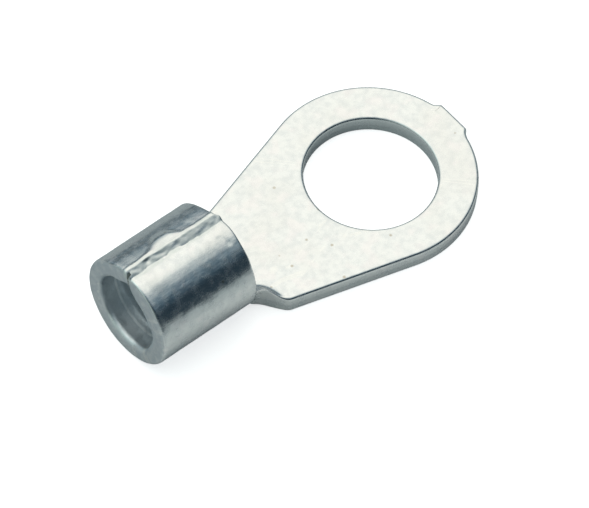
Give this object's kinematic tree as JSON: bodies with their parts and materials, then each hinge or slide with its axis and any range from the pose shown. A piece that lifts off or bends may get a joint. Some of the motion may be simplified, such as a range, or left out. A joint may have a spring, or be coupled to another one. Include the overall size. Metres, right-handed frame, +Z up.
{
  "type": "ring terminal",
  "caption": "Bare ring terminal stamped from tinned copper sheet, with a flat ring tongue for a stud and a rolled, brazed barrel for a wire.",
  "frame": {"origin": "centre of the stud hole on the underside of the tongue", "axes": "+X from the barrel towards the tip of the ring, +Z up through the stud hole, away from the face the terminal lies on"},
  "size_m": [0.0208, 0.0104, 0.006],
  "materials": {
    "tinned_copper": "bright tin plating on copper"
  },
  "bodies": {
    "root": {"ring_terminal": "tinned_copper"}
  },
  "joints": []
}
